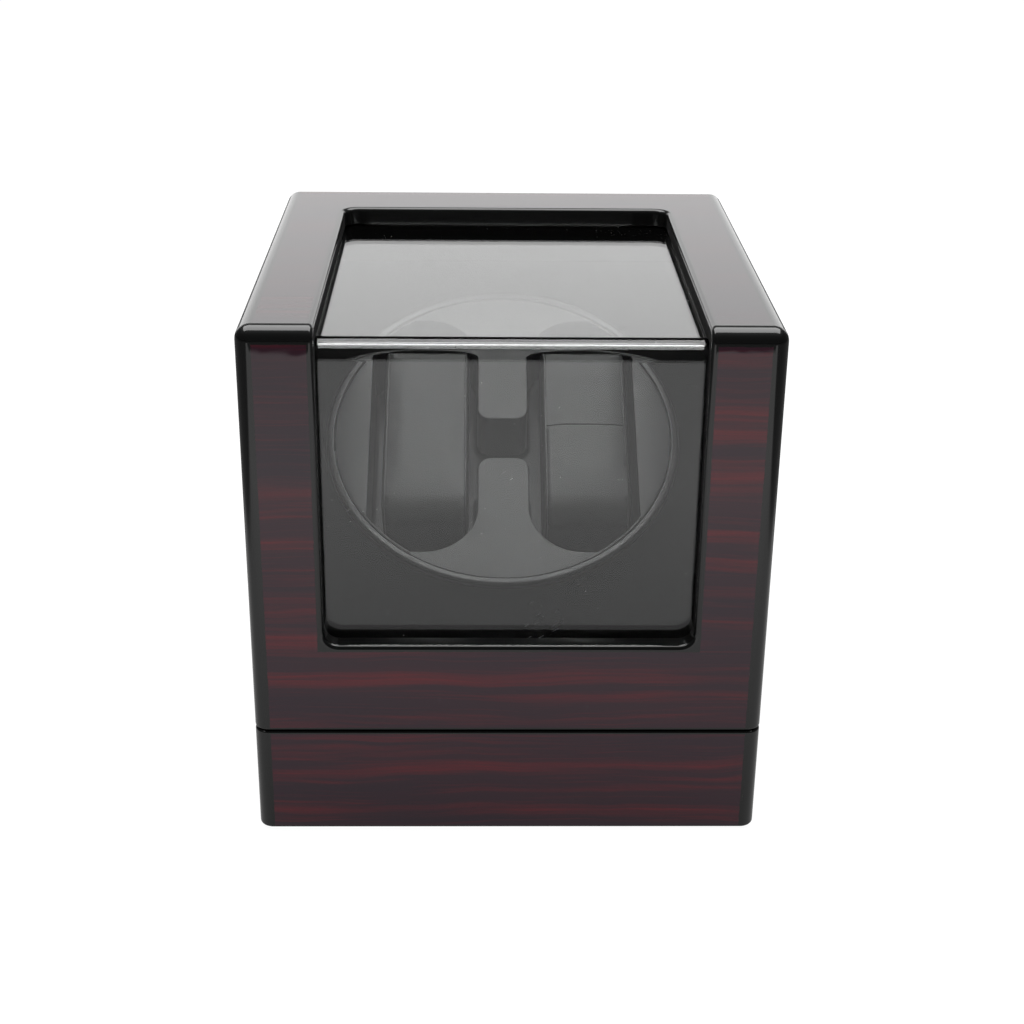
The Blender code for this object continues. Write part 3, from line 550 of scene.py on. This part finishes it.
def lid_weight(a, b):
    def outer(p):
        return abs(rounded_distance(p.x, p.y, p.z)) < 0.06
    if abs(a.z - LID_BOTTOM) < 0.02 and abs(b.z - LID_BOTTOM) < 0.02:
        return 0.5 if outer(a) and outer(b) else 0.2
    if outer(a) and outer(b):
        return 1.0
    if max(abs(a.x), abs(b.x)) < OPEN_HALF + 0.1 and a.z > OPEN_BOTTOM - 0.1 \
            and b.z > OPEN_BOTTOM - 0.1 and max(a.y, b.y) < OPEN_BACK + 0.1:
        return 0.2
    return 0.0


set_bevels(lid, lid_weight, 1.7, 5)
assign(lid, lambda c, n: (abs(c.x) < INNER + 0.05 and BOARD - 0.05 < c.y < DEPTH - BOARD + 0.05
                          and c.z < HEIGHT - BOARD + 0.05
                          and not (abs(c.x) < OPEN_HALF + 0.3 and c.z > OPEN_BOTTOM - 0.3
                                   and c.y < BOARD + 0.4)))
place(lid, "lid", "lid_shell", slot="lacquered_veneer")

base = finish_mesh("base_shell", bevelled(box_bm(-HALF, HALF, 0, DEPTH, FOOT_H, BASE_TOP),
                                          upright, EDGE_R, 10),
                   [base_lacquer, lining], weighted=False)
LEDGE = FOOT_H + 3.5 + 0.6
boolean(base, box_bm(-INNER, INNER, BOARD, DEPTH - BOARD, LEDGE - 1, BASE_TOP + 5))
boolean(base, box_bm(-INNER - 3, INNER + 3, BOARD - 3, DEPTH - BOARD + 3, -5, LEDGE))
boolean(base, box_bm(-20, 20, DEPTH - BOARD - 2, DEPTH + 2, 12, 30))


def base_weight(a, b):
    def outer(p):
        return abs(p.x) > HALF - EDGE_R - 0.1 or p.y < 0.1 or p.y > DEPTH - 0.1 \
            or abs(rounded_distance(p.x, p.y, 50)) < 0.06
    for height, weight in ((BASE_TOP, 0.85), (FOOT_H, 1.0)):
        if abs(a.z - height) < 0.02 and abs(b.z - height) < 0.02:
            return weight if outer(a) and outer(b) and abs(rounded_distance(a.x, a.y, 50)) < 0.06 \
                else 0.3
    return 0.0


set_bevels(base, base_weight, 1.0, 4)
assign(base, lambda c, n: abs(c.x) < INNER + 3.05 and BOARD - 3.05 < c.y < DEPTH - BOARD + 3.05
       and c.z < BASE_TOP - 0.02 and not (12 < c.z < 30 and abs(c.x) < 20.1 and c.y > 176))
place(base, "base", "base_case", slot="lacquered_veneer")

# ---- window ---------------------------------------------------------------
o, t = PANE_RECESS, PANE_T
top_o = HEIGHT - o
low_end, back_end = OPEN_BOTTOM - PANE_LAP, OPEN_BACK + PANE_LAP
line = ([(o, low_end)] + arc(o + PANE_BEND, top_o - PANE_BEND, PANE_BEND, 180, 90, 24)
        + [(back_end, top_o), (back_end, top_o - t)]
        + arc(o + PANE_BEND, top_o - PANE_BEND, PANE_BEND - t, 90, 180, 24)
        + [(o + t, low_end)])
pane = finish_mesh("window_pane", prism_x(line, -(OPEN_HALF + PANE_LAP), OPEN_HALF + PANE_LAP),
                   acrylic)
place(pane, "lid", "window", slot="clear_acrylic")


# ===========================================================================
# Turntable
# ===========================================================================
def pocket_outline(grow=0.0, clip=SLOT_CLIP):
    out_u, end_v = SLOT_OUT + grow, SLOT_END + grow
    end_r, in_u, tab = SLOT_END_R + grow, SLOT_IN - grow, max(TAB_R - grow, 0.3)
    high, low = BRIDGE_HIGH + grow, BRIDGE_LOW - grow
    v1 = math.sqrt(clip ** 2 - out_u ** 2)
    u2 = math.sqrt(clip ** 2 - end_v ** 2)
    a1, a2 = math.degrees(math.atan2(v1, out_u)), math.degrees(math.atan2(end_v, u2))
    c_u, c_v = in_u + end_r, end_v - end_r
    top = (arc(0, 0, clip, a1, a2, 12) + arc(c_u, c_v, end_r, 90, 180, 24)
           + arc(in_u - tab, high + tab, tab, 0, -90, 10))
    bottom = (arc(in_u - tab, low - tab, tab, 90, 0, 10) + arc(c_u, -c_v, end_r, 180, 270, 24)
              + arc(0, 0, clip, -a2, -a1, 12))
    return (top + [(-u, v) for u, v in reversed(top)]
            + [(-u, v) for u, v in reversed(bottom)] + bottom)


def loft(bm, rings):
    for a, b in zip(rings, rings[1:]):
        n = len(a)
        for i in range(n):
            j = (i + 1) % n
            bm.faces.new((a[i], a[j], b[j], b[i]))


def loop_edges(bm, ring):
    out = []
    for i, v in enumerate(ring):
        w = ring[(i + 1) % len(ring)]
        out.append(bm.edges.get((v, w)) or bm.edges.new((v, w)))
    return out


def cup_bm():
    bm = bmesh.new()

    def ring(points, h):
        return [bm.verts.new((u, v, h)) for u, v in points]

    r = 0.55
    pocket = []
    for i in range(7):
        a = math.radians(90 * i / 6)
        g = r * (1 - math.sin(a))
        pocket.append(ring(pocket_outline(g, SLOT_CLIP + 0.75 * g), -r * (1 - math.cos(a))))
    for h in (-9.0, -17.0, -POCKET + 2.0):
        pocket.append(ring(pocket_outline(), h))
    for i in range(1, 6):
        a = math.radians(90 * i / 5)
        pocket.append(ring(pocket_outline(-2.0 * (1 - math.cos(a))),
                           -POCKET + 2.0 - 2.0 * math.sin(a)))
    loft(bm, pocket)
    floor = pocket[-1]
    bmesh.ops.triangle_fill(bm, edges=loop_edges(bm, floor), use_beauty=True)
    sides = 160
    circle = [(math.cos(2 * math.pi * i / sides), math.sin(2 * math.pi * i / sides))
              for i in range(sides)]
    outer = [ring([(FACE_R - 0.35) * Vector(c) for c in circle], 0.0),
             ring([(FACE_R - 0.1) * Vector(c) for c in circle], -0.1),
             ring([FACE_R * Vector(c) for c in circle], -0.35),
             ring([FACE_R * Vector(c) for c in circle], -FACE_T)]
    loft(bm, outer)
    bmesh.ops.triangle_fill(bm, edges=loop_edges(bm, outer[0]) + loop_edges(bm, pocket[0]),
                            use_beauty=True)
    hull = [ring(pocket_outline(1.6, FACE_R - 0.3), h) for h in (-FACE_T, -POCKET - 3.0)]
    loft(bm, hull)
    bmesh.ops.triangle_fill(bm, edges=loop_edges(bm, outer[-1]) + loop_edges(bm, hull[0]),
                            use_beauty=True)
    bmesh.ops.triangle_fill(bm, edges=loop_edges(bm, hull[-1]), use_beauty=True)
    return bm


cup = finish_mesh("turntable_face", cup_bm(), satin, matrix=TABLE)
place(cup, "turntable", "turntable_cup", slot="satin_black_plastic")
rim_line = ([(RIM_IN, -2.9), (RIM_IN, 0.1)] + arc(RIM_IN + 0.4, 0.2, 0.4, 180, 90, 5)
            + [(RIM_R - 1.3, 0.6)] + arc(RIM_R - 1.3, -0.7, 1.3, 90, 0, 10)[1:]
            + [(RIM_R, -2.5), (RIM_R - 0.4, -2.9)])
rim = finish_mesh("turntable_trim", lathe(rim_line, 200), rim_mat, matrix=TABLE)
place(rim, "turntable", "turntable_rim", slot="satin_black_plastic")


# ===========================================================================
# Pillows
# ===========================================================================
def pillow_side(inset, radius, steps=10):
    """Closed (v, h) outline of the pillow seen from its side."""
    top, low = PILLOW_OUT - inset - radius, -PILLOW_DEPTH + inset + radius
    c = PILLOW_L / 2 - inset - radius
    return (arc(c, top, radius, 90, 0, steps) + arc(c, low, radius, 0, -90, steps)
            + arc(-c, low, radius, -90, -180, steps) + arc(-c, top, radius, 180, 90, steps))


def pillow_mesh(side):
    """Foam core blown up as cloth from a slab and held to its size."""
    bm = prism_x(pillow_side(1.0, PILLOW_R - 1.0), -PILLOW_W / 2 + 0.9, PILLOW_W / 2 - 0.9)
    rims = [e for e in bm.edges if abs(e.verts[0].co.x - e.verts[1].co.x) < 0.01]
    bmesh.ops.bevel(bm, geom=rims, offset=0.9, segments=2, profile=0.5, affect="EDGES")
    obj = finish_mesh(f"pillow_pad_{side}", bm, leather, matrix=Matrix(), sharp=None,
                      weighted=False)
    mod = obj.modifiers.new("Remesh", "REMESH")
    mod.mode, mod.voxel_size = "VOXEL", 1.5 * MM
    baked(obj)
    start = [v.co.copy() for v in obj.data.vertices]
    moved = start
    mod = obj.modifiers.new("Cloth", "CLOTH")
    c = mod.settings
    c.quality = 5
    c.mass = 0.3
    c.tension_stiffness = c.compression_stiffness = 25
    c.shear_stiffness = 10
    c.bending_stiffness = 6
    c.use_pressure = True
    c.uniform_pressure_force = 4.0
    c.effector_weights.gravity = 0
    mod.point_cache.frame_start, mod.point_cache.frame_end = 1, 20
    for f in range(1, 21):
        bpy.context.scene.frame_set(f)
    dg = bpy.context.evaluated_depsgraph_get()
    mesh = bpy.data.meshes.new_from_object(obj.evaluated_get(dg), depsgraph=dg)
    moved = [v.co.copy() for v in mesh.vertices]
    bpy.data.meshes.remove(mesh)
    obj.modifiers.clear()
    bpy.context.scene.frame_set(1)
    cap = 0.9 * MM
    for v, a, b in zip(obj.data.vertices, start, moved):
        d = b - a
        if d.length > cap:
            d *= cap / d.length
        v.co = a + d
        v.co.x = max(-PILLOW_W / 2 * MM, min(PILLOW_W / 2 * MM, v.co.x))
    sub = obj.modifiers.new("Smooth", "SMOOTH")
    sub.factor, sub.iterations = 0.5, 2
    sub = obj.modifiers.new("Subdivision", "SUBSURF")
    sub.levels = sub.render_levels = 1
    baked(obj)
    obj.data.shade_smooth()
    return obj


def skin_point(tree, u, v, h, toward, lift=0.0):
    """Where a line from outside meets the pillow; toward is its direction."""
    aim = Vector(toward).normalized()
    hit = tree.ray_cast(Vector((u, v, h)) * MM - aim * 0.05, aim)
    return None if hit[0] is None else hit[0] + hit[1] * lift * MM


def round_path(tree, u, lift, steps=150):
    """Points round the pillow's side outline at one u."""
    out = []
    centre_h = (PILLOW_OUT - PILLOW_DEPTH) / 2
    reach = PILLOW_L / 2 - (PILLOW_OUT + PILLOW_DEPTH) / 2
    for i in range(steps):
        a = 2 * math.pi * i / steps
        v = reach * max(-1.0, min(1.0, 1.35 * math.sin(a)))
        p = skin_point(tree, u, v, centre_h, (0, -math.sin(a), -math.cos(a)), lift)
        if p is not None:
            out.append(p)
    return out


def tube(name, points, radius, mat, closed, matrix):
    curve = bpy.data.curves.new(name, "CURVE")
    curve.dimensions = "3D"
    curve.bevel_depth = radius * MM
    curve.bevel_resolution = 3
    curve.use_fill_caps = not closed
    spline = curve.splines.new("POLY")
    spline.points.add(len(points) - 1)
    for p, q in zip(spline.points, points):
        p.co = (*q, 1)
    spline.use_cyclic_u = closed
    curve.materials.append(mat)
    obj = bpy.data.objects.new(name, curve)
    bpy.context.scene.collection.objects.link(obj)
    dg = bpy.context.evaluated_depsgraph_get()
    mesh = bpy.data.meshes.new_from_object(obj.evaluated_get(dg), depsgraph=dg)
    mesh.transform(matrix)
    mesh.shade_smooth()
    bpy.data.objects.remove(obj, do_unlink=True)
    made = bpy.data.objects.new(name, mesh)
    bpy.context.scene.collection.objects.link(made)
    return made


def flap_mesh(tree, u0, u1, v_top, v_low, thick=0.9, corner=2.6):
    """A thin leather tongue laid on the pillow's face, its lower end tucked
    down over the pillow's end."""
    cols, rows = 30, 78
    bm = bmesh.new()
    grids = []
    for lift in (thick, 0.05):
        grid = []
        for j in range(rows + 1):
            line = []
            v = v_top + (v_low - v_top) * j / rows
            for i in range(cols + 1):
                s = i / cols
                u = u0 + (u1 - u0) * s
                du = min(u - u0, u1 - u)
                drop = 0.0
                if du < corner:
                    drop = corner - math.sqrt(max(corner ** 2 - (corner - du) ** 2, 0))
                vv = min(v, v_top - drop)
                edge = min(du, v_top - vv if v_top - vv > 0 else 0, 0.9)
                soft = lift if lift < 0.5 else 0.05 + (lift - 0.05) * min(
                    1.0, math.sqrt(max(0.0, 1 - (1 - min(min(du, v_top - v), 0.8) / 0.8) ** 2)))
                bend = -PILLOW_L / 2 + PILLOW_R
                if vv > bend:
                    p = skin_point(tree, u, vv, PILLOW_OUT, (0, 0, -1), soft)
                else:
                    a = (bend - vv) / PILLOW_R
                    p = skin_point(tree, u, bend, PILLOW_OUT - PILLOW_R,
                                   (0, math.sin(a), -math.cos(a)), soft)
                line.append(bm.verts.new(p / MM if p else (u, vv, PILLOW_OUT + soft)))
            grid.append(line)
        grids.append(grid)
    top, low = grids
    for j in range(rows):
        for i in range(cols):
            bm.faces.new((top[j][i], top[j][i + 1], top[j + 1][i + 1], top[j + 1][i]))
            bm.faces.new((low[j][i], low[j + 1][i], low[j + 1][i + 1], low[j][i + 1]))
    border = ([(0, i) for i in range(cols)] + [(j, cols) for j in range(rows)]
              + [(rows, i) for i in range(cols, 0, -1)] + [(j, 0) for j in range(rows, 0, -1)])
    n = len(border)
    for k in range(n):
        a, b = border[k], border[(k + 1) % n]
        bm.faces.new((top[a[0]][a[1]], low[a[0]][a[1]], low[b[0]][b[1]], top[b[0]][b[1]]))
    bmesh.ops.remove_doubles(bm, verts=bm.verts, dist=0.01)
    bmesh.ops.dissolve_degenerate(bm, edges=bm.edges, dist=0.005)
    return bm


for side, u0 in PILLOW_U.items():
    pad = pillow_mesh(side)
    tree = BVHTree.FromObject(pad, bpy.context.evaluated_depsgraph_get())
    shift = TABLE @ Matrix.Translation(Vector((u0, 0, 0)) * MM)
    body = f"pillow_{side}"
    extra = []
    for s in (-1, 1):
        pts = round_path(tree, s * (PILLOW_W / 2 - 1.3), 0.05)
        extra.append(tube(f"pillow_piping_{side}_{'lr'[s > 0]}", pts, 0.5, thread, True, shift))
    if side == "right":
        flap = finish_mesh("pillow_flap", flap_mesh(tree, -14.9, 15.3, -1.4, -46.0), leather,
                           matrix=shift, sharp=60, weighted=False)
        extra.append(flap)
        seam = [skin_point(tree, u, -1.15, PILLOW_OUT, (0, 0, -1), 0.1)
                for u in [-14.6 + 29.6 * i / 40 for i in range(41)]]
        extra.append(tube("pillow_flap_seam", [q for q in seam if q is not None], 0.22,
                          seam_dark, False, shift))
    pad.data.transform(shift)
    place(pad, body, body, slot="black_leather")
    for p in extra:
        place(p, body, slot="black_leather")

# ===========================================================================
# Materials on the model's own pieces
# ===========================================================================
PAINT = {
    "platform": flock, "cheek_left": flock, "cheek_right": flock, "front_skirt": flock,
    "back_riser": flock, "bottom_panel": panel_mat, "drive_bracket": zinc,
    "bearing_housing": nylon, "driven_pulley": nylon, "motor_pulley": nylon,
    "gearbox": zinc, "motor_can": nickel, "spindle": zinc, "spindle_clip": zinc,
    "motor_shaft": zinc, "drive_belt": rubber, "control_board": green_board,
    "dc_jack": fittings, "jack_nut": nickel, "mode_switch": fittings, "rear_plate": fittings,
    "mode_knob": fittings, "switch_spindle": nickel, "jack_lead": rubber,
    "motor_lead": rubber,
}
for name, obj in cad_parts.items():
    mat = PAINT.get(name)
    if mat is None:
        if name.startswith("foot"):
            mat = rubber
        elif "hinge" in name:
            mat = nickel
        elif "screw" in name:
            mat = zinc
    if mat is not None:
        obj.data.materials.clear()
        obj.data.materials.append(mat)

# ===========================================================================
# Floor, light and camera
# ===========================================================================
scene = bpy.context.scene
scene.view_settings.view_transform = "Standard"
scene.view_settings.look = "None"

floor_nodes = Nodes("floor")
p, _ = floor_nodes.object_mm()
fx, fy, fz = floor_nodes.split(p)
# Painted light and shadow: for rays other than camera rays the floor glows only in a patch in
# front of and beside the box, and the glow is dimmer close to the box as a painted shadow of it;
# camera rays see the floor evenly white.
ragged = floor_nodes.math("MULTIPLY", floor_nodes.noise(floor_nodes.scaled(p, 0.03), detail=2.0),
                          34.0)
ahead = floor_nodes.step(floor_nodes.math("ADD", fy, ragged), -612.0, -600.0)
aside = floor_nodes.math("SUBTRACT", 1.0, floor_nodes.step(
    floor_nodes.math("ABSOLUTE", fx), 300.0, 380.0))
behind = floor_nodes.math("SUBTRACT", 1.0, floor_nodes.step(fy, 80.0, 110.0))
near = floor_nodes.math("MULTIPLY", floor_nodes.math("MULTIPLY", ahead, aside), behind)
seen = floor_nodes.new("ShaderNodeLightPath").outputs["Is Camera Ray"]
glow = floor_nodes.math("MAXIMUM", floor_nodes.math("MULTIPLY", seen, 0.97),
                        floor_nodes.math("MULTIPLY", near, floor_nodes.scale(
                            fy, -400.0, -110.0, 0.86, 0.36)))
glow = floor_nodes.math("ADD", glow, floor_nodes.math("MULTIPLY", seen, 0.01))
floor_mat = floor_nodes.shader(Base_Color=(0.12, 0.12, 0.12), Roughness=0.9,
                               Specular_IOR_Level=0.0, Emission_Color=(1.0, 1.0, 1.0),
                               Emission_Strength=glow)
bm = bmesh.new()
bmesh.ops.create_grid(bm, x_segments=2, y_segments=2, size=6000)
floor = finish_mesh("floor", bm, floor_mat, matrix=Matrix(), weighted=False)


def panel_light(name, centre, facing, width, height, radiance):
    """A flat rectangular lamp; radiance is what a mirror would show of it."""
    data = bpy.data.lights.new(name, "AREA")
    data.shape, data.size, data.size_y = "RECTANGLE", width, height
    data.energy = radiance * math.pi * width * height
    obj = bpy.data.objects.new(name, data)
    obj.location = centre
    obj.rotation_mode = "QUATERNION"
    obj.rotation_quaternion = Vector(facing).to_track_quat("-Z", "Y")
    obj.visible_camera = False
    scene.collection.objects.link(obj)
    return obj


panel_light("overhead_box", (0, 0.20, 1.35), (0, 0, -1), 1.9, 1.12, 4.9)
panel_light("backdrop_light", (0, 1.9, 0.35), (0, -1, 0), 3.2, 1.5, 1.22)

world = Nodes("studio", "world")
bg_seen = world.new("ShaderNodeBackground")
bg_seen.inputs["Color"].default_value = (1, 1, 1, 1)
bg_seen.inputs["Strength"].default_value = 1.0
bg_fill = world.new("ShaderNodeBackground")
bg_fill.inputs["Color"].default_value = (1, 1, 1, 1)
bg_fill.inputs["Strength"].default_value = 0.06
mixer = world.new("ShaderNodeMixShader")
world.tree.links.new(world.new("ShaderNodeLightPath").outputs["Is Camera Ray"], mixer.inputs[0])
world.tree.links.new(bg_fill.outputs[0], mixer.inputs[1])
world.tree.links.new(bg_seen.outputs[0], mixer.inputs[2])
world.tree.links.new(mixer.outputs[0], world.new("ShaderNodeOutputWorld").inputs[0])
scene.world = world.mat

cam_data = bpy.data.cameras.new("camera")
cam_data.sensor_width = 36.0
cam_data.lens = 61.95
cam = bpy.data.objects.new("camera", cam_data)
pitch, yaw, roll = (math.radians(a) for a in (23.873, 1.265, 0.669))
forward = Vector((math.sin(yaw) * math.cos(pitch), math.cos(yaw) * math.cos(pitch),
                  -math.sin(pitch)))
right = Vector((math.cos(yaw), -math.sin(yaw), 0))
up = right.cross(forward)
right, up = (math.cos(roll) * right + math.sin(roll) * up,
             -math.sin(roll) * right + math.cos(roll) * up)
turn = Matrix((right, up, -forward)).transposed().to_4x4()
cam.matrix_world = Matrix.Translation((-0.01123, -0.62067, 0.35613)) @ turn
scene.collection.objects.link(cam)
scene.camera = cam
